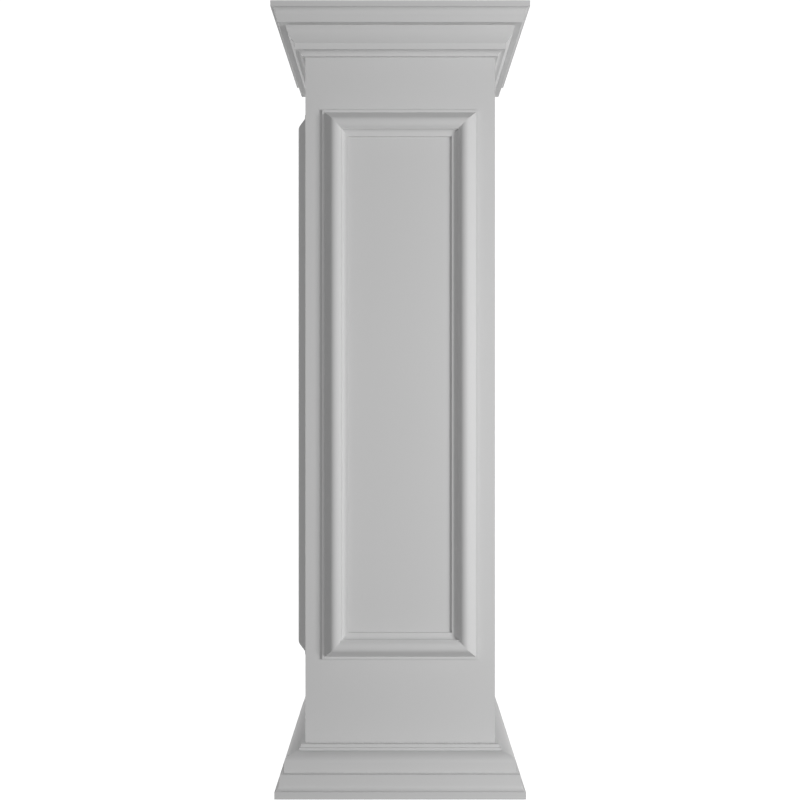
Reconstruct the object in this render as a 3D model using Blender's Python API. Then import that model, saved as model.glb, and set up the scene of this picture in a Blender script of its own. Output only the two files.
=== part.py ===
"""Square box newel post: four mitred boards round a hollow core, closed by a cap board, with a
mitred crown and base moulding, and a mitred moulding frame planted on the front and left faces.
The right and back faces stay plain, where a railing would butt against them.

Metres, +Z up, origin on the floor at the post's axis. The front face looks along -Y.
"""

import math

import bmesh
import bpy
from mathutils import Matrix, Vector

# Fits
FIT = 0.0003                     # hairline left wherever two pieces touch
ARC_STEPS = 8                    # straight steps in each round stretch of a moulding

# Box
POST_HEIGHT = 1.2192
BODY_WIDTH = 0.298
BOARD_THICKNESS = 0.019
CAP_THICKNESS = 0.019

# Crown moulding: heights from the top down
CROWN_FILLET_HEIGHT = 0.0090
CROWN_COVE_RADIUS = 0.0070
CROWN_FASCIA_HEIGHT = 0.0136
CROWN_OVOLO_HEIGHT = 0.0240
CROWN_BEAD_HEIGHT = 0.0091
CROWN_NECK_HEIGHT = 0.0074

# Crown moulding: how far each member stands out from the one below it
CROWN_NECK_FOOT = 0.0047
CROWN_NECK_OUT = 0.0065
CROWN_BEAD_OUT = 0.0040
CROWN_OVOLO_OUT = 0.0127
CROWN_OVOLO_TOP_LEAN = 5         # degrees from upright
CROWN_SOFFIT_OUT = 0.0107
CROWN_FASCIA_OUT = 0.0033

# Base moulding: heights from the floor up
PLINTH_HEIGHT = 0.0113
BASE_COVE_HEIGHT = 0.0052
BASE_FASCIA_HEIGHT = 0.0182
BASE_LEDGE_RISE = 0.0012
BASE_RISER_HEIGHT = 0.0145
BASE_OVOLO_HEIGHT = 0.0125
BASE_BEAD_HEIGHT = 0.0040
BASE_NECK_HEIGHT = 0.0049

# Base moulding: how far each member stands out from the one above it
BASE_NECK_OUT = 0.0066
BASE_BEAD_OUT = 0.0022
BASE_OVOLO_OUT = 0.0212
BASE_LEDGE_OUT = 0.0059
BASE_FASCIA_OUT = 0.0011
BASE_COVE_OUT = 0.0064

# Frame on a panelled face: where it sits
FRAME_MARGIN = 0.0265            # from the edge of the box
FRAME_TOP_DROP = 0.1536          # from the top of the post
FRAME_FOOT_RISE = 0.2039         # from the floor

# Frame moulding: widths from its outer edge inwards
FRAME_FILLET_WIDTH = 0.0040
FRAME_SLOPE_WIDTH = 0.0088
FRAME_SHOULDER_WIDTH = 0.0072
FRAME_BACK_WIDTH = 0.0100
FRAME_QUIRK_WIDTH = 0.0012
FRAME_THROAT_WIDTH = 0.0066
FRAME_LIP_WIDTH = 0.0039

# Frame moulding: heights above the board
FRAME_EDGE = 0.0033
FRAME_SLOPE_TOP = 0.0123
FRAME_CREST = 0.0155
FRAME_BACK_FOOT = 0.0098
FRAME_QUIRK_FOOT = 0.0096
FRAME_LIP = 0.0030

FACE_TURNS = {"front": 0, "right": 90, "back": 180, "left": 270}
STRIP_TURNS = {"top": 0, "right": 90, "bottom": 180, "left": 270}
PANELLED_FACES = ("front", "left")


def clear_scene():
    for old in list(bpy.data.objects):
        bpy.data.objects.remove(old)


def paint(name, grey):
    """A matt off-white finish."""
    material = bpy.data.materials.new(name)
    material.use_nodes = True
    shader = material.node_tree.nodes["Principled BSDF"]
    shader.inputs["Base Color"].default_value = (grey, grey, grey, 1)
    shader.inputs["Roughness"].default_value = 0.7
    shader.inputs["Metallic"].default_value = 0
    return material


def arc(start, end, heading):
    """Points of a circular arc after start, up to end. It leaves start at a heading in degrees."""
    start = Vector(start)
    chord = Vector(end) - start
    leaving = math.radians(heading)
    swing = math.remainder(math.atan2(chord.y, chord.x) - leaving, math.tau)
    diameter = chord.length / math.sin(swing)
    points = []
    for step in range(1, ARC_STEPS + 1):
        part = swing * step / ARC_STEPS
        stride = diameter * math.sin(part)
        direction = Vector((math.cos(leaving + part), math.sin(leaving + part)))
        points.append(tuple(start + stride * direction))
    return points


def arc_arriving(start, end, heading):
    """The same, for an arc that reaches end at a heading in degrees."""
    chord = Vector(end) - Vector(start)
    return arc(start, end, 2 * math.degrees(math.atan2(chord.y, chord.x)) - heading)


def quarter_ellipse(start, end):
    """Points after start, up to end, of a quarter ellipse that leaves upright and ends level."""
    points = []
    for step in range(1, ARC_STEPS + 1):
        turn = math.radians(90) * step / ARC_STEPS
        across = end[0] + (start[0] - end[0]) * math.cos(turn)
        up = start[1] + (end[1] - start[1]) * math.sin(turn)
        points.append((across, up))
    return points


def board_outline():
    height = POST_HEIGHT - CAP_THICKNESS - FIT
    return [(-BOARD_THICKNESS, 0), (0, 0), (0, height), (-BOARD_THICKNESS, height)]


def crown_outline():
    """Reach from the box, and rise from the post's top: fillet, cove, fascia, ovolo and neck."""
    neck = CROWN_NECK_FOOT + CROWN_NECK_OUT
    bead = neck + CROWN_BEAD_OUT
    ovolo = bead + CROWN_OVOLO_OUT
    soffit = ovolo + CROWN_SOFFIT_OUT
    fascia = soffit + CROWN_FASCIA_OUT
    fillet = fascia + CROWN_COVE_RADIUS
    cove_top = -CROWN_FILLET_HEIGHT
    cove_foot = cove_top - CROWN_COVE_RADIUS
    fascia_foot = cove_foot - CROWN_FASCIA_HEIGHT
    ovolo_foot = fascia_foot - CROWN_OVOLO_HEIGHT
    bead_foot = ovolo_foot - CROWN_BEAD_HEIGHT
    foot = bead_foot - CROWN_NECK_HEIGHT
    return [
        (FIT, 0),
        (fillet, 0),
        (fillet, cove_top),
        *arc((fillet, cove_top), (fascia, cove_foot), 180),
        *arc((fascia, cove_foot), (soffit, fascia_foot), -90),
        (ovolo, fascia_foot),
        *arc((ovolo, fascia_foot), (bead, ovolo_foot), -90 - CROWN_OVOLO_TOP_LEAN),
        (bead, bead_foot),
        (neck, bead_foot),
        *arc_arriving((neck, bead_foot), (CROWN_NECK_FOOT, foot), -90),
        (FIT, foot),
    ]


def base_outline():
    """Reach from the box, and rise from the floor: plinth, cove, fascia, ledge, round and steps."""
    bead = BASE_NECK_OUT + BASE_BEAD_OUT
    ovolo = bead + BASE_OVOLO_OUT
    ledge = ovolo + BASE_LEDGE_OUT
    fascia = ledge + BASE_FASCIA_OUT
    plinth = fascia + BASE_COVE_OUT
    cove_top = PLINTH_HEIGHT + BASE_COVE_HEIGHT
    fascia_top = cove_top + BASE_FASCIA_HEIGHT
    riser_foot = fascia_top + BASE_LEDGE_RISE
    riser_top = riser_foot + BASE_RISER_HEIGHT
    ovolo_top = riser_top + BASE_OVOLO_HEIGHT
    bead_top = ovolo_top + BASE_BEAD_HEIGHT
    top = bead_top + BASE_NECK_HEIGHT
    return [
        (FIT, 0),
        (plinth, 0),
        (plinth, PLINTH_HEIGHT),
        *arc((plinth, PLINTH_HEIGHT), (fascia, cove_top), 180),
        *arc((fascia, cove_top), (ledge, fascia_top), 90),
        (ovolo, riser_foot),
        (ovolo, riser_top),
        *quarter_ellipse((ovolo, riser_top), (bead, ovolo_top)),
        (bead, bead_top),
        (BASE_NECK_OUT, bead_top),
        (BASE_NECK_OUT, top),
        (FIT, top),
    ]


def frame_outline():
    """From the outer edge inwards: fillet, slope, round crest, quirk, hollow throat and lip."""
    fillet = -FRAME_FILLET_WIDTH
    slope = fillet - FRAME_SLOPE_WIDTH
    crest = slope - FRAME_SHOULDER_WIDTH
    back = crest - FRAME_BACK_WIDTH
    quirk = back - FRAME_QUIRK_WIDTH
    throat = quirk - FRAME_THROAT_WIDTH
    return [
        (0, FIT),
        (0, FRAME_EDGE),
        (fillet, FRAME_EDGE),
        (slope, FRAME_SLOPE_TOP),
        *arc_arriving((slope, FRAME_SLOPE_TOP), (crest, FRAME_CREST), 180),
        *arc((crest, FRAME_CREST), (back, FRAME_BACK_FOOT), 180),
        (quirk, FRAME_QUIRK_FOOT),
        *arc_arriving((quirk, FRAME_QUIRK_FOOT), (throat, FRAME_LIP), 180),
        (-frame_width(), FRAME_LIP),
        (-frame_width(), FIT),
    ]


def frame_width():
    slope_side = FRAME_FILLET_WIDTH + FRAME_SLOPE_WIDTH + FRAME_SHOULDER_WIDTH
    throat_side = FRAME_QUIRK_WIDTH + FRAME_THROAT_WIDTH + FRAME_LIP_WIDTH
    return slope_side + FRAME_BACK_WIDTH + throat_side


def new_piece(name, bm, material, post):
    """Turn a bmesh into a named object of the post."""
    bmesh.ops.recalc_face_normals(bm, faces=bm.faces)
    mesh = bpy.data.meshes.new(name)
    bm.to_mesh(mesh)
    bm.free()
    mesh.shade_smooth()
    mesh.set_sharp_from_angle(angle=math.radians(20))
    mesh.materials.append(material)
    piece = bpy.data.objects.new(name, mesh)
    piece.parent = post
    bpy.context.scene.collection.objects.link(piece)
    return piece


def mitred_length(name, outline, half_run, offset, material, post):
    """A length of moulding that runs along X, mitred at both ends.

    The outline lists (reach, rise). Reach grows along Y, away from the middle of the ring of four
    lengths, and the length grows with it. Rise is along Z.
    """
    trim = FIT / math.sqrt(2)
    bm = bmesh.new()
    near_end = bm.faces.new(
        bm.verts.new((-(half_run + reach - trim), offset + reach, rise)) for reach, rise in outline
    )
    extruded = bmesh.ops.extrude_face_region(bm, geom=[near_end])
    for item in extruded["geom"]:
        if isinstance(item, bmesh.types.BMVert):
            item.co.x = -item.co.x
    return new_piece(name, bm, material, post)


def ring_round_box(part_name, outline, height, material, post):
    """Four mitred lengths round the box, with their rise counted from a height."""
    half = BODY_WIDTH / 2
    for face, turn in FACE_TURNS.items():
        name = f"{part_name}_{face}"
        piece = mitred_length(name, outline, half, half, material, post)
        piece.rotation_euler.z = math.radians(180 + turn)
        piece.location.z = height


def boards(post):
    ring_round_box("board", board_outline(), 0, paint("board paint", 0.70), post)


def crown(post):
    ring_round_box("crown", crown_outline(), POST_HEIGHT, paint("crown paint", 0.70), post)


def base(post):
    ring_round_box("base", base_outline(), 0, paint("base paint", 0.69), post)


def cap_board(post):
    """The flat board that closes the box, level with the top of the crown."""
    bm = bmesh.new()
    bmesh.ops.create_cube(bm, size=1)
    bmesh.ops.scale(bm, verts=bm.verts, vec=(BODY_WIDTH, BODY_WIDTH, CAP_THICKNESS))
    board = new_piece("cap_board", bm, paint("cap paint", 0.68), post)
    board.location.z = POST_HEIGHT - CAP_THICKNESS / 2


def face_matrix(face):
    """From a face's own axes (X right, Y up, Z out of the face) to the post's."""
    turn = Matrix.Rotation(math.radians(FACE_TURNS[face]), 4, "Z")
    centre = (FRAME_FOOT_RISE + POST_HEIGHT - FRAME_TOP_DROP) / 2
    out = Matrix.Translation((0, -BODY_WIDTH / 2, centre))
    return turn @ out @ Matrix.Rotation(math.radians(90), 4, "X")


def frame(face, material, post):
    """Four mitred strips planted on one face."""
    half_width = BODY_WIDTH / 2 - FRAME_MARGIN
    half_height = (POST_HEIGHT - FRAME_TOP_DROP - FRAME_FOOT_RISE) / 2
    for side, turn in STRIP_TURNS.items():
        upright = side in ("left", "right")
        half_run = half_height if upright else half_width
        offset = half_width if upright else half_height
        name = f"frame_{face}_{side}"
        strip = mitred_length(name, frame_outline(), half_run, offset, material, post)
        strip.matrix_basis = face_matrix(face) @ Matrix.Rotation(math.radians(-turn), 4, "Z")


def build():
    clear_scene()
    post = bpy.data.objects.new("newel_post", None)
    bpy.context.scene.collection.objects.link(post)
    boards(post)
    cap_board(post)
    crown(post)
    base(post)
    frame_paint = paint("frame paint", 0.71)
    for face in PANELLED_FACES:
        frame(face, frame_paint, post)


build()
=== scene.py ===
# %% [markdown]
# # A box newel post
#
# A box newel is the stout square post at the end of a railing. It is not carved from one block of
# wood: four boards make a hollow box, and lengths of moulding are mitred round its head and foot.
# On two of its faces a thin moulding is planted in a rectangle, so that the plain board reads as
# a panel. This file dresses the solids of such a post for a picture.

# %% Load the post
import math

import bmesh
import bpy
from mathutils import Matrix, Vector


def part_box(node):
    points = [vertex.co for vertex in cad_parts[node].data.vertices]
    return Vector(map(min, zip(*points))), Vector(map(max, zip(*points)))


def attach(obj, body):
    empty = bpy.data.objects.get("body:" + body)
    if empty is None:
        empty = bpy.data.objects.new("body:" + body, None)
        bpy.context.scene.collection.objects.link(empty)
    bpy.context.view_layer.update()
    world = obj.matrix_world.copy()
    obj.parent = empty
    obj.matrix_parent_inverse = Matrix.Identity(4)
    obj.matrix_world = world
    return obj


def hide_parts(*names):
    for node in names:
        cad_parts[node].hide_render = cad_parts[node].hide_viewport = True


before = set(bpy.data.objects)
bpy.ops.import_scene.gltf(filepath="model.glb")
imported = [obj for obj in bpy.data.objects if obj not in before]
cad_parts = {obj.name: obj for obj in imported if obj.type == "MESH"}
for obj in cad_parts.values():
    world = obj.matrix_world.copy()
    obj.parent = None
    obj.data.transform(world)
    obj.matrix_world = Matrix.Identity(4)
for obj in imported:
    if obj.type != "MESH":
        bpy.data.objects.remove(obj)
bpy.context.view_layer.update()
print("solids in the frame:", len(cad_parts))

# %% [markdown]
# ## The sizes
#
# Everything below hangs on the solids, so their boxes give the width of the box, the height of
# the post and the places of the frames. Only the sections of the mouldings are written here, as
# a joiner would draw them: one height and one projection for each member.

# %% Read the main sizes from the solids
POST_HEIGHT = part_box("crown_front")[1].z
HALF_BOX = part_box("board_right")[1].x
BOARD_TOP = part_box("board_front")[1].z
BOARD_THICKNESS = HALF_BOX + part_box("board_front")[1].y
CAP_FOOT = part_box("cap_board")[0].z

HAIRLINE = 0.0003             # left between two pieces that touch
FACE_TURNS = {"front": 0, "right": 90, "back": 180, "left": 270}
STRIP_TURNS = {"top": 0, "right": 90, "bottom": 180, "left": 270}
PANELLED_FACES = ("front", "left")

print("box", round(2 * HALF_BOX, 4), "wide, post", round(POST_HEIGHT, 4), "tall")
print("boards", round(BOARD_THICKNESS, 4), "thick")

# %% [markdown]
# ## Drawing a section
#
# A moulding is a flat outline, pushed along a line. The straight parts of the outline need only
# their corners. The round parts are arcs, and an arc is fixed by its two ends and the direction
# in which it leaves the first one. A curve object with handles could draw them too, but a joiner
# thinks in arcs, and a short formula keeps them true when a size changes. One member, the base's
# broad round, is deeper than it is tall, so it is a quarter of an ellipse.

# %% Draw arcs
ARC_STEPS = 12


def arc(start, end, heading):
    """Points of an arc after start, up to end. It leaves start at a heading in degrees."""
    start = Vector(start)
    chord = Vector(end) - start
    leaving = math.radians(heading)
    swing = math.remainder(math.atan2(chord.y, chord.x) - leaving, math.tau)
    diameter = chord.length / math.sin(swing)
    points = []
    for step in range(1, ARC_STEPS + 1):
        part = swing * step / ARC_STEPS
        direction = Vector((math.cos(leaving + part), math.sin(leaving + part)))
        points.append(tuple(start + diameter * math.sin(part) * direction))
    return points


def arc_arriving(start, end, heading):
    """The same, for an arc that reaches end at a heading in degrees."""
    chord = Vector(end) - Vector(start)
    return arc(start, end, 2 * math.degrees(math.atan2(chord.y, chord.x)) - heading)


def quarter_ellipse(start, end):
    """Points after start, up to end, of a quarter ellipse that leaves upright and ends level."""
    points = []
    for step in range(1, ARC_STEPS + 1):
        turn = math.radians(90) * step / ARC_STEPS
        across = end[0] + (start[0] - end[0]) * math.cos(turn)
        up = start[1] + (end[1] - start[1]) * math.sin(turn)
        points.append((across, up))
    return points


print("a quarter round in", len(arc((0, 0), (1, 1), 90)), "steps")

# %% [markdown]
# ## The crown's section
#
# The crown is the moulding round the head. From the top down it has a square fillet, a small
# hollow cove, a fascia that swells very slightly, and then a step back under a soffit to a round
# ovolo. A square bead and a last small cove bring it home to the box. Each undercut catches a
# line of shade, and that is what makes a crown look rich.

# %% Section of the crown
CROWN_HEIGHTS = {
    "fillet": 0.0090, "cove": 0.0070, "fascia": 0.0136, "ovolo": 0.0240, "bead": 0.0091, "neck": 0.0074
}
CROWN_OUT = {
    "foot": 0.0047, "neck": 0.0065, "bead": 0.0040, "ovolo": 0.0127, "soffit": 0.0107,
    "fascia": 0.0033, "cove": 0.0070,
}
OVOLO_TOP_LEAN = 5            # degrees from upright


def running_total(start, steps):
    """Each named step added to the ones before it."""
    total = start
    totals = {}
    for name, step in steps.items():
        total += step
        totals[name] = total
    return totals


def crown_outline():
    """Reach from the box, and height above the floor."""
    foot_of = running_total(POST_HEIGHT, {name: -height for name, height in CROWN_HEIGHTS.items()})
    out = running_total(0, CROWN_OUT)
    return [
        (HAIRLINE, POST_HEIGHT),
        (out["cove"], POST_HEIGHT),
        (out["cove"], foot_of["fillet"]),
        *arc((out["cove"], foot_of["fillet"]), (out["fascia"], foot_of["cove"]), 180),
        *arc((out["fascia"], foot_of["cove"]), (out["soffit"], foot_of["fascia"]), -90),
        (out["ovolo"], foot_of["fascia"]),
        *arc(
            (out["ovolo"], foot_of["fascia"]), (out["bead"], foot_of["ovolo"]), -90 - OVOLO_TOP_LEAN
        ),
        (out["bead"], foot_of["bead"]),
        (out["neck"], foot_of["bead"]),
        *arc_arriving((out["neck"], foot_of["bead"]), (out["foot"], foot_of["neck"]), -90),
        (HAIRLINE, foot_of["neck"]),
    ]


print("crown section:", len(crown_outline()), "points")

# %% [markdown]
# ## The base's section
#
# The base answers the crown. It is heavier below: a plinth, a small cove, a fascia, and a ledge
# that slopes a little to the front. Above them a tall riser turns over in a broad round, which
# leads the eye up to two square steps against the box.

# %% Section of the base
BASE_HEIGHTS = {
    "plinth": 0.0113, "cove": 0.0052, "fascia": 0.0182, "ledge": 0.0012, "riser": 0.0145,
    "ovolo": 0.0125, "bead": 0.0040, "neck": 0.0049,
}
BASE_OUT = {
    "neck": 0.0066, "bead": 0.0022, "ovolo": 0.0212, "ledge": 0.0059, "fascia": 0.0011, "cove": 0.0064
}


def base_outline():
    """Reach from the box, and height above the floor."""
    top_of = running_total(0, BASE_HEIGHTS)
    out = running_total(0, BASE_OUT)
    return [
        (HAIRLINE, 0),
        (out["cove"], 0),
        (out["cove"], top_of["plinth"]),
        *arc((out["cove"], top_of["plinth"]), (out["fascia"], top_of["cove"]), 180),
        *arc((out["fascia"], top_of["cove"]), (out["ledge"], top_of["fascia"]), 90),
        (out["ovolo"], top_of["ledge"]),
        (out["ovolo"], top_of["riser"]),
        *quarter_ellipse((out["ovolo"], top_of["riser"]), (out["bead"], top_of["ovolo"])),
        (out["bead"], top_of["bead"]),
        (out["neck"], top_of["bead"]),
        (out["neck"], top_of["neck"]),
        (HAIRLINE, top_of["neck"]),
    ]


print("base section:", len(base_outline()), "points")

# %% [markdown]
# ## The frame's section
#
# The planted moulding is thin at both edges and full in the middle. From its outer edge it has a
# flat fillet, a straight slope and a rounded shoulder up to the crest. A long round back falls
# to a narrow quirk, a hollow throat sweeps down to the inner lip, and the lip ends on the board.

# %% Section of the frame moulding
FRAME_WIDTHS = {
    "fillet": 0.0040, "slope": 0.0088, "shoulder": 0.0072, "back": 0.0100, "quirk": 0.0012,
    "throat": 0.0066, "lip": 0.0039,
}
FRAME_EDGE = 0.0033
SLOPE_TOP = 0.0123
CREST = 0.0155
BACK_FOOT = 0.0098
QUIRK_FOOT = 0.0096
LIP = 0.0030


def frame_outline():
    """Distance in from the outer edge, as a negative reach, and height above the board."""
    inner = running_total(0, {name: -width for name, width in FRAME_WIDTHS.items()})
    return [
        (0, HAIRLINE),
        (0, FRAME_EDGE),
        (inner["fillet"], FRAME_EDGE),
        (inner["slope"], SLOPE_TOP),
        *arc_arriving((inner["slope"], SLOPE_TOP), (inner["shoulder"], CREST), 180),
        *arc((inner["shoulder"], CREST), (inner["back"], BACK_FOOT), 180),
        (inner["quirk"], QUIRK_FOOT),
        *arc_arriving((inner["quirk"], QUIRK_FOOT), (inner["throat"], LIP), 180),
        (inner["lip"], LIP),
        (inner["lip"], HAIRLINE),
    ]


print("frame section:", len(frame_outline()), "points")

# %% [markdown]
# ## Sprayed paint
#
# The post looks matt and off-white, and its paint is taken to be sprayed. A sprayed film is never
# quite flat: it dries with a very fine peel, and its tone drifts a little over the length of a
# board. Both are made once, in a node group, and each finish uses the group with its own values.
# The patterns read Object coordinates, which are metres here, so a millimetre stays a millimetre.


# %% Node group: the paint film's inputs and outputs
def float_input(group, name, value):
    socket = group.interface.new_socket(name, in_out="INPUT", socket_type="NodeSocketFloat")
    socket.default_value = value


def paint_film_group():
    group = bpy.data.node_groups.new("Paint film", "ShaderNodeTree")
    float_input(group, "Peel size", 0.004)
    float_input(group, "Tone drift", 0.02)
    float_input(group, "Roughness", 0.7)
    for name in ("Tone", "Height", "Roughness"):
        group.interface.new_socket(name, in_out="OUTPUT", socket_type="NodeSocketFloat")
    return group


PAINT_FILM = paint_film_group()
film_input = PAINT_FILM.nodes.new("NodeGroupInput")
film_output = PAINT_FILM.nodes.new("NodeGroupOutput")
film_place = PAINT_FILM.nodes.new("ShaderNodeTexCoord")
print("paint film gives:", ", ".join(socket.name for socket in film_output.inputs if socket.name))

# %% [markdown]
# ## The peel
#
# The peel is a fine noise that a bump turns into dents. Its size comes in as a length, and a Noise
# node wants a scale, which is one divided by that length. A picture of real paint could serve too,
# but noise never repeats and needs no file.

# %% Node group: peel
PEEL_DETAIL = 3


def add_peel(group, given, made, place):
    nodes, links = group.nodes, group.links
    peel_scale = nodes.new("ShaderNodeMath")
    peel_scale.operation = "DIVIDE"
    peel_scale.inputs[0].default_value = 1
    links.new(given.outputs["Peel size"], peel_scale.inputs[1])
    peel = nodes.new("ShaderNodeTexNoise")
    peel.inputs["Detail"].default_value = PEEL_DETAIL
    links.new(place.outputs["Object"], peel.inputs["Vector"])
    links.new(peel_scale.outputs[0], peel.inputs["Scale"])
    links.new(peel.outputs["Fac"], made.inputs["Height"])


add_peel(PAINT_FILM, film_input, film_output, film_place)
print("nodes so far:", len(PAINT_FILM.nodes))

# %% [markdown]
# ## The drift
#
# One broad, cloudy noise serves twice: where it rises, the film is a touch lighter and also a
# touch duller. A second noise could drive the roughness on its own, but one is enough for an
# effect as faint as this.

# %% Node group: drift of tone and roughness
CLOUD_SCALE = 5
CLOUD_DETAIL = 4
CLOUD_MIDDLE = 0.5            # taken off, so that the drift goes both ways
GLOSS_DRIFT = 0.12


def add_drift(group, given, made, place):
    nodes, links = group.nodes, group.links
    cloud = nodes.new("ShaderNodeTexNoise")
    cloud.inputs["Scale"].default_value = CLOUD_SCALE
    cloud.inputs["Detail"].default_value = CLOUD_DETAIL
    links.new(place.outputs["Object"], cloud.inputs["Vector"])
    centred = nodes.new("ShaderNodeMath")
    centred.operation = "SUBTRACT"
    centred.inputs[1].default_value = CLOUD_MIDDLE
    links.new(cloud.outputs["Fac"], centred.inputs[0])
    tone = nodes.new("ShaderNodeMath")
    tone.operation = "MULTIPLY_ADD"
    tone.inputs[2].default_value = 1
    links.new(centred.outputs[0], tone.inputs[0])
    links.new(given.outputs["Tone drift"], tone.inputs[1])
    links.new(tone.outputs[0], made.inputs["Tone"])

    gloss = nodes.new("ShaderNodeMath")
    gloss.operation = "MULTIPLY_ADD"
    gloss.inputs[1].default_value = GLOSS_DRIFT
    links.new(centred.outputs[0], gloss.inputs[0])
    links.new(given.outputs["Roughness"], gloss.inputs[2])
    links.new(gloss.outputs[0], made.inputs["Roughness"])


add_drift(PAINT_FILM, film_input, film_output, film_place)
print("node group:", PAINT_FILM.name, "with", len(PAINT_FILM.nodes), "nodes")

# %% [markdown]
# ## The two finishes
#
# The outside is painted. The inside of the four boards, the back of each moulding and the cut ends
# on the floor are bare board, a touch darker and duller, because nobody paints what is not seen.

# %% Materials: painted and bare board
PAINT_GLOSS = 0.3             # specular level, low for a matt film


def film_material(name, colour, roughness, peel_size, peel_depth, drift):
    material = bpy.data.materials.new(name)
    material.use_nodes = True
    nodes, links = material.node_tree.nodes, material.node_tree.links
    shader = nodes["Principled BSDF"]
    shader.inputs["Specular IOR Level"].default_value = PAINT_GLOSS
    film = nodes.new("ShaderNodeGroup")
    film.node_tree = PAINT_FILM
    film.inputs["Peel size"].default_value = peel_size
    film.inputs["Tone drift"].default_value = drift
    film.inputs["Roughness"].default_value = roughness

    tint = nodes.new("ShaderNodeVectorMath")
    tint.operation = "SCALE"
    tint.inputs[0].default_value = colour
    links.new(film.outputs["Tone"], tint.inputs["Scale"])
    links.new(tint.outputs[0], shader.inputs["Base Color"])
    links.new(film.outputs["Roughness"], shader.inputs["Roughness"])

    bump = nodes.new("ShaderNodeBump")
    bump.inputs["Distance"].default_value = peel_depth
    links.new(film.outputs["Height"], bump.inputs["Height"])
    links.new(bump.outputs["Normal"], shader.inputs["Normal"])
    return material


PAINT = film_material(
    "matt_paint", colour=(0.70, 0.70, 0.70), roughness=0.7,
    peel_size=0.004, peel_depth=0.00003, drift=0.02,
)
BARE = film_material(
    "bare_board", colour=(0.63, 0.62, 0.60), roughness=0.85,
    peel_size=0.0015, peel_depth=0.0001, drift=0.06,
)
print("finishes:", PAINT.name, "and", BARE.name)

# %% [markdown]
# ## One tree for every mitred length
#
# Crown, base, frame and even the boards of the box are the same thing: a section run along a
# line, and cut at 45 degrees at both ends so that four of them close a ring. They could be
# modelled one by one, but the rule is simple: the further out a point of the section lies, the
# longer the run at that point. So one Geometry Nodes tree makes them all. It is built here step
# by step, and the first step gives it its inputs.


# %% Geometry Nodes: the tree and its inputs
def length_tree():
    tree = bpy.data.node_groups.new("Mitred length", "GeometryNodeTree")
    tree.interface.new_socket("Outline", in_out="INPUT", socket_type="NodeSocketGeometry")
    for name in ("Half run", "Ring reach", "Mitre gap"):
        float_input(tree, name, 0.0)
    tree.interface.new_socket("Bare back", in_out="INPUT", socket_type="NodeSocketBool")
    for name in ("Paint", "Bare"):
        tree.interface.new_socket(name, in_out="INPUT", socket_type="NodeSocketMaterial")
    tree.interface.new_socket("Length", in_out="OUTPUT", socket_type="NodeSocketGeometry")
    return tree


LENGTH_TREE = length_tree()
tree_input = LENGTH_TREE.nodes.new("NodeGroupInput")
print("tree inputs:", ", ".join(socket.name for socket in tree_input.outputs if socket.name))

# %% [markdown]
# ## From an outline to a prism
#
# The outline comes in as one flat face. A Curve to Mesh node could sweep it along a path, but to
# extrude it needs no path. That gives the sides and the far end, and a flipped copy of the face
# closes the near end. Welded together they are a closed prism, one unit long.

# %% Geometry Nodes: extrude the outline
WELD_DISTANCE = 0.000001


def extruded_outline(tree, given):
    """The closed prism: reach in X, rise in Y, and the length from 0 to 1 in Z."""
    extrude = tree.nodes.new("GeometryNodeExtrudeMesh")
    extrude.inputs["Individual"].default_value = False
    extrude.inputs["Offset"].default_value = (0, 0, 1)
    extrude.inputs["Offset Scale"].default_value = 1
    flip = tree.nodes.new("GeometryNodeFlipFaces")
    join = tree.nodes.new("GeometryNodeJoinGeometry")
    weld = tree.nodes.new("GeometryNodeMergeByDistance")
    weld.inputs["Distance"].default_value = WELD_DISTANCE
    tree.links.new(given.outputs["Outline"], extrude.inputs["Mesh"])
    tree.links.new(given.outputs["Outline"], flip.inputs["Mesh"])
    tree.links.new(extrude.outputs["Mesh"], join.inputs["Geometry"])
    tree.links.new(flip.outputs["Mesh"], join.inputs["Geometry"])
    tree.links.new(join.outputs["Geometry"], weld.inputs["Geometry"])
    return weld.outputs["Geometry"]


prism = extruded_outline(LENGTH_TREE, tree_input)
print("nodes so far:", len(LENGTH_TREE.nodes))

# %% [markdown]
# ## The mitre
#
# The prism's ends are square. A mitre lengthens the run at each point by as much as the point
# reaches out, at both ends. That is a sum for every point, so a Set Position node does it with a
# few Math nodes, and nothing has to be cut.


# %% Geometry Nodes: mitre both ends
def math_node(tree, operation, *terms):
    """A Math node. Each term is a number or the socket that feeds it."""
    node = tree.nodes.new("ShaderNodeMath")
    node.operation = operation
    for socket, term in zip(node.inputs, terms):
        if isinstance(term, bpy.types.NodeSocket):
            tree.links.new(term, socket)
        else:
            socket.default_value = term
    return node.outputs[0]


def mitred(tree, given, prism):
    """Run along X, reach along Y and rise along Z, with both ends cut at 45 degrees."""
    position = tree.nodes.new("GeometryNodeInputPosition")
    split = tree.nodes.new("ShaderNodeSeparateXYZ")
    tree.links.new(position.outputs[0], split.inputs[0])
    reach, rise, along = split.outputs
    side = math_node(tree, "MULTIPLY_ADD", along, 2, -1)
    half = math_node(tree, "ADD", given.outputs["Half run"], reach)
    trimmed = math_node(tree, "SUBTRACT", half, given.outputs["Mitre gap"])
    joined = tree.nodes.new("ShaderNodeCombineXYZ")
    tree.links.new(math_node(tree, "MULTIPLY", side, trimmed), joined.inputs[0])
    tree.links.new(math_node(tree, "ADD", given.outputs["Ring reach"], reach), joined.inputs[1])
    tree.links.new(rise, joined.inputs[2])
    place = tree.nodes.new("GeometryNodeSetPosition")
    tree.links.new(prism, place.inputs["Geometry"])
    tree.links.new(joined.outputs[0], place.inputs["Position"])
    return place.outputs["Geometry"]


solid = mitred(LENGTH_TREE, tree_input, prism)
print("nodes so far:", len(LENGTH_TREE.nodes))

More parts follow.
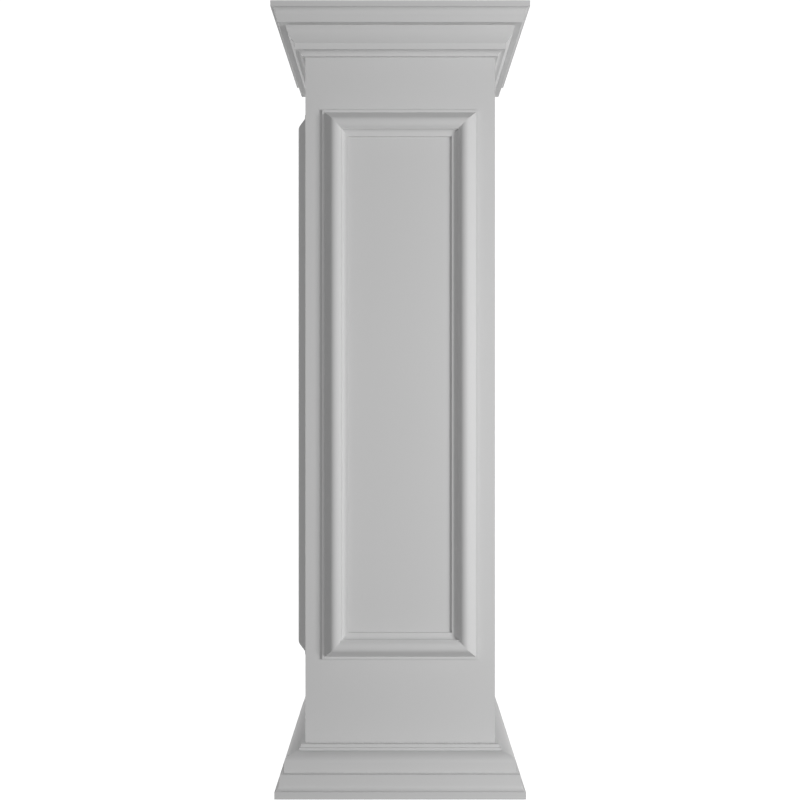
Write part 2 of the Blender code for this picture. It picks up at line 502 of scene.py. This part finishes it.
# %% [markdown]
# ## Which edges are arrises
#
# An arris is a sharp edge along the length. An edge runs lengthwise if its two ends lie on
# different sides of the middle, and it is sharp if its faces fold by more than 20 degrees, which
# leaves out the fine facets of the arcs. The tree only marks the arrises, because the Bevel
# modifier that follows it can ease the marked edges and no others.

# %% Geometry Nodes: mark the arrises
EASED_ABOVE = math.radians(20)    # a fold sharper than this is an arris


def arrises(tree):
    """Two edge masks: edges that run along the length, and those of them that are sharp."""
    ends = tree.nodes.new("GeometryNodeInputMeshEdgeVertices")
    along = []
    for place in ("Position 1", "Position 2"):
        split = tree.nodes.new("ShaderNodeSeparateXYZ")
        tree.links.new(ends.outputs[place], split.inputs[0])
        along.append(split.outputs["X"])
    lengthwise = math_node(tree, "LESS_THAN", math_node(tree, "MULTIPLY", *along), 0)
    fold = tree.nodes.new("GeometryNodeInputMeshEdgeAngle")
    sharp = math_node(tree, "GREATER_THAN", fold.outputs["Unsigned Angle"], EASED_ABOVE)
    return lengthwise, math_node(tree, "MULTIPLY", lengthwise, sharp)


def shaded(tree, solid):
    """Smooth along the length, sharp round the cut ends, with the arrises marked for easing."""
    lengthwise, arris = arrises(tree)
    smooth = tree.nodes.new("GeometryNodeSetShadeSmooth")
    split = tree.nodes.new("GeometryNodeSetShadeSmooth")
    split.domain = "EDGE"
    marked = tree.nodes.new("GeometryNodeStoreNamedAttribute")
    marked.domain = "EDGE"
    marked.inputs["Name"].default_value = "bevel_weight_edge"
    tree.links.new(solid, smooth.inputs["Geometry"])
    tree.links.new(smooth.outputs[0], split.inputs["Geometry"])
    tree.links.new(lengthwise, split.inputs["Shade Smooth"])
    tree.links.new(split.outputs[0], marked.inputs["Geometry"])
    tree.links.new(arris, marked.inputs["Value"])
    return marked.outputs["Geometry"]


marked_solid = shaded(LENGTH_TREE, solid)
print("nodes so far:", len(LENGTH_TREE.nodes))

# %% [markdown]
# ## Paint in front, bare board behind
#
# The finish could be set face by face, but it is safer to choose it by the way a face looks, which
# stays right when a section changes. A face that looks back at the box, or down onto what carries
# the piece, is bare. All the others are painted.

# %% Geometry Nodes: choose the finish
SQUARELY = 0.9                # cosine of the angle within which a face looks a given way


def bare_faces(tree, given):
    """Faces that stand on what carries them, and the back if it is bare."""
    facing = tree.nodes.new("GeometryNodeInputNormal")
    way = tree.nodes.new("ShaderNodeSeparateXYZ")
    tree.links.new(facing.outputs[0], way.inputs[0])
    position = tree.nodes.new("GeometryNodeInputPosition")
    where = tree.nodes.new("ShaderNodeSeparateXYZ")
    tree.links.new(position.outputs[0], where.inputs[0])
    downward = math_node(tree, "LESS_THAN", way.outputs["Z"], -SQUARELY)
    at_foot = math_node(tree, "LESS_THAN", where.outputs["Z"], 2 * HAIRLINE)
    inward = math_node(tree, "LESS_THAN", way.outputs["Y"], -SQUARELY)
    back = math_node(tree, "MULTIPLY", inward, given.outputs["Bare back"])
    return math_node(tree, "MAXIMUM", math_node(tree, "MULTIPLY", downward, at_foot), back)


def finished(tree, given, solid):
    """Real geometry, and the two finishes."""
    real = tree.nodes.new("GeometryNodeRealizeInstances")
    painted = tree.nodes.new("GeometryNodeSetMaterial")
    bared = tree.nodes.new("GeometryNodeSetMaterial")
    tree.links.new(solid, real.inputs["Geometry"])
    tree.links.new(real.outputs[0], painted.inputs["Geometry"])
    tree.links.new(given.outputs["Paint"], painted.inputs["Material"])
    tree.links.new(painted.outputs[0], bared.inputs["Geometry"])
    tree.links.new(given.outputs["Bare"], bared.inputs["Material"])
    tree.links.new(bare_faces(tree, given), bared.inputs["Selection"])
    return bared.outputs["Geometry"]


tree_output = LENGTH_TREE.nodes.new("NodeGroupOutput")
length = finished(LENGTH_TREE, tree_input, marked_solid)
LENGTH_TREE.links.new(length, tree_output.inputs["Length"])
print("tree:", LENGTH_TREE.name, "with", len(LENGTH_TREE.nodes), "nodes")

# %% [markdown]
# ## Giving the tree its outline
#
# The tree hangs on an object whose own mesh is the outline, as one flat face. The face has to look
# along +Z, or the prism would come out inside out. The tree's other inputs are set by identifier,
# which stays the same when a name is changed.


# %% Object with an outline
def outline_object(name, outline):
    mesh = bpy.data.meshes.new(name)
    mesh.from_pydata([(reach, rise, 0) for reach, rise in outline], [], [range(len(outline))])
    if mesh.polygons[0].normal.z < 0:
        mesh.flip_normals()
    piece = bpy.data.objects.new(name, mesh)
    bpy.context.scene.collection.objects.link(piece)
    return piece


def set_inputs(modifier, values):
    """Set a Geometry Nodes modifier's inputs, found by name and set by identifier."""
    for item in modifier.node_group.interface.items_tree:
        if item.in_out == "INPUT" and item.name in values:
            modifier[item.identifier] = values[item.name]


given_items = [item for item in LENGTH_TREE.interface.items_tree if item.in_out == "INPUT"]
print("inputs by identifier:", ", ".join(item.identifier for item in given_items))

# %% [markdown]
# ## Easing and baking
#
# No real arris is a perfect line, and an eased edge catches a thread of light. A Bevel modifier
# eases every arris that runs along the length by 0.3 mm, and leaves the cut ends crisp. Then the
# result becomes a plain mesh, put in place, with no modifier left, and is simple to export.

# %% Ease the arrises and bake the mesh
EASING = 0.0003
EASING_STEPS = 2


def ease_edges(piece, chosen_by):
    bevel = piece.modifiers.new("Eased edges", "BEVEL")
    bevel.width = EASING
    bevel.segments = EASING_STEPS
    bevel.limit_method = chosen_by
    bevel.use_clamp_overlap = False
    bevel.harden_normals = True


def bake_in_place(piece, placement):
    """Turn the modified piece into a plain mesh, with its place in the mesh."""
    graph = bpy.context.evaluated_depsgraph_get()
    mesh = bpy.data.meshes.new_from_object(piece.evaluated_get(graph), depsgraph=graph)
    mesh.transform(placement)
    piece.modifiers.clear()
    piece.data = mesh


print("arrises eased by", EASING, "in", EASING_STEPS, "steps")

# %% [markdown]
# ## One length
#
# Here the steps come together. The cut ends at a corner nearly touch, because paint fills a good
# mitre. A length then rides with the post and takes the place of its plain solid.

# %% Make one length
PAINTED_MITRE = 0.00002       # left open at each cut end


def mitred_length(node, outline, half_run, ring_reach, placement, bare_back):
    piece = outline_object(node + "_length", outline)
    maker = piece.modifiers.new("Mitred length", "NODES")
    maker.node_group = LENGTH_TREE
    values = {
        "Half run": half_run,
        "Ring reach": ring_reach,
        "Mitre gap": PAINTED_MITRE,
        "Bare back": bare_back,
        "Paint": PAINT,
        "Bare": BARE,
    }
    set_inputs(maker, values)
    ease_edges(piece, "WEIGHT")
    bake_in_place(piece, placement)
    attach(piece, "root")
    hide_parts(node)
    return piece


print("cut ends stop", PAINTED_MITRE, "short of the corner")

# %% [markdown]
# ## Box, crown and base
#
# Three rings go round the box, each of four lengths: the boards, the crown and the base. Every
# length is made on the +Y side and turned to its face. The boards are mitred too, which is how
# a good box newel hides the boards' edges and shows one crisp line at each corner.


# %% Rings round the box
def ring(part, outline):
    for face, turn in FACE_TURNS.items():
        placement = Matrix.Rotation(math.radians(180 + turn), 4, "Z")
        piece = mitred_length(f"{part}_{face}", outline, HALF_BOX, HALF_BOX, placement, True)
        print(piece.name, len(piece.data.polygons), "faces")


BOARD_OUTLINE = [(-BOARD_THICKNESS, 0), (0, 0), (0, BOARD_TOP), (-BOARD_THICKNESS, BOARD_TOP)]
ring("board", BOARD_OUTLINE)
ring("crown", crown_outline())
ring("base", base_outline())

# %% [markdown]
# ## The planted frames
#
# The front and the left face each carry a frame of four strips. The place of a frame is read
# from its solids, and the strips are made flat and then stood up against the face.

# %% Frames on the panelled faces
SOLID_TRIM = HAIRLINE / math.sqrt(2)      # the solids' strips are this much shorter at each end


def face_placement(face, middle):
    """From a face's own axes (X right, Y up, Z out of the face) to the post's."""
    turn = Matrix.Rotation(math.radians(FACE_TURNS[face]), 4, "Z")
    out = Matrix.Translation((0, -HALF_BOX, middle))
    return turn @ out @ Matrix.Rotation(math.radians(90), 4, "X")


def frame_on(face):
    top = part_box(f"frame_{face}_top")[1].z
    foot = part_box(f"frame_{face}_bottom")[0].z
    low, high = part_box(f"frame_{face}_bottom")
    half_width = max(high.x - low.x, high.y - low.y) / 2 + SOLID_TRIM
    half_height = (top - foot) / 2
    for side, turn in STRIP_TURNS.items():
        upright = side in ("left", "right")
        half_run = half_height if upright else half_width
        ring_reach = half_width if upright else half_height
        stand = face_placement(face, (top + foot) / 2)
        placement = stand @ Matrix.Rotation(math.radians(-turn), 4, "Z")
        node = f"frame_{face}_{side}"
        strip = mitred_length(node, frame_outline(), half_run, ring_reach, placement, False)
    print("frame on the", face, round(2 * half_width, 4), "by", round(2 * half_height, 4))


for face in PANELLED_FACES:
    frame_on(face)

# %% [markdown]
# ## The cap board
#
# A flat square board closes the box, level with the top of the crown. It is cut from the same
# stock, so a bevelled block is the whole of it.


# %% Cap board
def cap_board():
    bm = bmesh.new()
    bmesh.ops.create_cube(bm, size=1)
    size = (2 * HALF_BOX, 2 * HALF_BOX, POST_HEIGHT - CAP_FOOT)
    bmesh.ops.scale(bm, verts=bm.verts, vec=size)
    bmesh.ops.translate(bm, verts=bm.verts, vec=(0, 0, (POST_HEIGHT + CAP_FOOT) / 2))
    mesh = bpy.data.meshes.new("cap_board_top")
    bm.to_mesh(mesh)
    bm.free()
    mesh.shade_smooth()
    mesh.materials.append(PAINT)
    board = bpy.data.objects.new("cap_board_top", mesh)
    bpy.context.scene.collection.objects.link(board)
    ease_edges(board, "ANGLE")
    bake_in_place(board, Matrix.Identity(4))
    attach(board, "root")
    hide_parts("cap_board")
    return board


print(cap_board().name, "closes the box")

# %% [markdown]
# ## Camera
#
# The picture is taken straight on, with the camera level at half the post's height. The sides of
# the crown and base that run away from the camera fix how far off it stands: about a metre and a
# half from the front face.

# %% Camera
CAMERA_HEIGHT = 0.6105
CAMERA_DISTANCE = 1.5546      # from the front face
CAMERA_ASIDE = -0.0003        # to the left of the post's axis
LENS = 44.515                 # in mm, as is the sensor
SENSOR_WIDTH = 36
SEEN_TO = 60


def add_camera():
    data = bpy.data.cameras.new("camera")
    data.sensor_width = SENSOR_WIDTH
    data.lens = LENS
    data.clip_end = SEEN_TO
    camera = bpy.data.objects.new("camera", data)
    camera.location = (CAMERA_ASIDE, -HALF_BOX - CAMERA_DISTANCE, CAMERA_HEIGHT)
    camera.rotation_euler = (math.radians(90), 0, 0)
    bpy.context.scene.collection.objects.link(camera)
    bpy.context.scene.camera = camera
    return camera


print("camera at", tuple(round(value, 3) for value in add_camera().location))

# %% [markdown]
# ## Light
#
# One soft box stands to the right of the camera at the post's mid height, so slopes that face
# right are bright and slopes that face left fall into shade.

# %% Key light
KEY_BEARING = 50              # degrees to the right of the camera's line
KEY_DISTANCE = 1.9            # from the post's axis
KEY_HEIGHT = 0.61
KEY_POWER = 21
KEY_SIZE = (0.5, 0.6)


def direction(bearing):
    """Level direction: 0 is towards the camera, 90 to the right, 180 to the backdrop."""
    turn = math.radians(bearing)
    return Vector((math.sin(turn), -math.cos(turn), 0))


def add_key():
    data = bpy.data.lights.new("key", "AREA")
    data.shape = "RECTANGLE"
    data.size, data.size_y = KEY_SIZE
    data.energy = KEY_POWER
    key = bpy.data.objects.new("key", data)
    aim = -direction(KEY_BEARING)
    key.location = Vector((0, 0, KEY_HEIGHT)) - KEY_DISTANCE * aim
    key.rotation_euler = aim.to_track_quat("-Z", "Y").to_euler()
    bpy.context.scene.collection.objects.link(key)


add_key()
print("key light at", KEY_BEARING, "degrees,", KEY_DISTANCE, "m")

# %% [markdown]
# ## A broad glow
#
# The rest of the light comes from pale surfaces round the post. Each of them is a glow: brightest
# along its own direction, and fading to nothing at a right angle to it. The cosine of the angle
# does that, and a power of it makes the glow narrower.


# %% Node group: soft glow
def soft_glow_group():
    group = bpy.data.node_groups.new("Soft glow", "ShaderNodeTree")
    group.interface.new_socket("Direction", in_out="INPUT", socket_type="NodeSocketVector")
    float_input(group, "Sharpness", 4)
    float_input(group, "Strength", 1)
    group.interface.new_socket("Brightness", in_out="OUTPUT", socket_type="NodeSocketFloat")
    nodes, links = group.nodes, group.links
    given = nodes.new("NodeGroupInput")
    made = nodes.new("NodeGroupOutput")
    place = nodes.new("ShaderNodeTexCoord")
    cosine = nodes.new("ShaderNodeVectorMath")
    cosine.operation = "DOT_PRODUCT"
    links.new(place.outputs["Generated"], cosine.inputs[0])
    links.new(given.outputs["Direction"], cosine.inputs[1])
    lit_side = nodes.new("ShaderNodeMath")
    lit_side.operation = "MAXIMUM"
    lit_side.inputs[1].default_value = 0
    links.new(cosine.outputs["Value"], lit_side.inputs[0])
    narrowed = nodes.new("ShaderNodeMath")
    narrowed.operation = "POWER"
    links.new(lit_side.outputs[0], narrowed.inputs[0])
    links.new(given.outputs["Sharpness"], narrowed.inputs[1])
    brightness = nodes.new("ShaderNodeMath")
    brightness.operation = "MULTIPLY"
    links.new(narrowed.outputs[0], brightness.inputs[0])
    links.new(given.outputs["Strength"], brightness.inputs[1])
    links.new(brightness.outputs[0], made.inputs["Brightness"])
    return group


SOFT_GLOW = soft_glow_group()
print("node group:", SOFT_GLOW.name, "with", len(SOFT_GLOW.nodes), "nodes")

# %% [markdown]
# ## The room
#
# Five glows stand for the room: the lit backdrop, pale walls behind on the left and right, the
# room behind the camera, and a pale wall in front on the left. The backdrop's glow is the broadest,
# and so it also reaches the tops and undersides of the mouldings. Large lamps could stand in for
# the walls, but a glow costs one small node and has no edge that a render could show.

# %% Glows of the room
GLOWS = {
    "backdrop": {"bearing": 180, "sharpness": 1.5, "strength": 1.3},
    "wall behind left": {"bearing": -135, "sharpness": 6, "strength": 1.25},
    "wall behind right": {"bearing": 135, "sharpness": 6, "strength": 0.15},
    "behind the camera": {"bearing": 0, "sharpness": 2.5, "strength": 0.65},
    "wall in front left": {"bearing": -45, "sharpness": 6, "strength": 0.2},
}


def summed_glows(nodes, links):
    total = None
    for given in GLOWS.values():
        glow = nodes.new("ShaderNodeGroup")
        glow.node_tree = SOFT_GLOW
        glow.inputs["Direction"].default_value = direction(given["bearing"])
        glow.inputs["Sharpness"].default_value = given["sharpness"]
        glow.inputs["Strength"].default_value = given["strength"]
        if total is None:
            total = glow.outputs["Brightness"]
            continue
        both = nodes.new("ShaderNodeMath")
        links.new(total, both.inputs[0])
        links.new(glow.outputs["Brightness"], both.inputs[1])
        total = both.outputs[0]
    return total


print("glows:", ", ".join(GLOWS))

# %% [markdown]
# ## The backdrop
#
# The camera sees a plain white backdrop, and all other rays see the glows. A white board behind
# the post could be modelled too, but it would stand in the way of the light from behind. A Light
# Path node tells the camera's rays from the others instead.

# %% World
BACKDROP = 1.1


def light_room():
    world = bpy.data.worlds.new("room")
    bpy.context.scene.world = world
    world.use_nodes = True
    nodes, links = world.node_tree.nodes, world.node_tree.links
    nodes.clear()
    seen = nodes.new("ShaderNodeLightPath")
    room = nodes.new("ShaderNodeBackground")
    links.new(summed_glows(nodes, links), room.inputs["Strength"])
    backdrop = nodes.new("ShaderNodeBackground")
    backdrop.inputs["Strength"].default_value = BACKDROP
    for shader in (room, backdrop):
        shader.inputs["Color"].default_value = (1, 1, 1, 1)
    mix = nodes.new("ShaderNodeMixShader")
    output = nodes.new("ShaderNodeOutputWorld")
    links.new(seen.outputs["Is Camera Ray"], mix.inputs[0])
    links.new(room.outputs[0], mix.inputs[1])
    links.new(backdrop.outputs[0], mix.inputs[2])
    links.new(mix.outputs[0], output.inputs["Surface"])


light_room()
bpy.context.scene.view_settings.view_transform = "Standard"
print("backdrop", BACKDROP, "in the world called", bpy.context.scene.world.name)

# %% [markdown]
# ## Floor
#
# The floor is plain white paper, as white as the backdrop, so that only the post draws the eye.

# %% Floor
FLOOR_SIZE = 40
FLOOR_DROP = 0.0004           # below the foot of the post
PAPER_TONE = 0.3              # low, as the paper's own glow does most


def add_floor():
    bm = bmesh.new()
    bmesh.ops.create_grid(bm, x_segments=1, y_segments=1, size=FLOOR_SIZE / 2)
    bmesh.ops.translate(bm, verts=bm.verts, vec=(0, 0, -FLOOR_DROP))
    mesh = bpy.data.meshes.new("floor")
    bm.to_mesh(mesh)
    bm.free()
    paper = bpy.data.materials.new("floor_paper")
    paper.use_nodes = True
    shader = paper.node_tree.nodes["Principled BSDF"]
    shader.inputs["Base Color"].default_value = (PAPER_TONE, PAPER_TONE, PAPER_TONE, 1)
    shader.inputs["Roughness"].default_value = 1
    shader.inputs["Emission Color"].default_value = (1, 1, 1, 1)
    shader.inputs["Emission Strength"].default_value = 1
    mesh.materials.append(paper)
    floor = bpy.data.objects.new("floor", mesh)
    floor.visible_diffuse = False
    floor.visible_glossy = False
    floor.visible_shadow = False
    bpy.context.scene.collection.objects.link(floor)


add_floor()
print("floor", FLOOR_SIZE, "wide and", FLOOR_DROP, "below the foot")
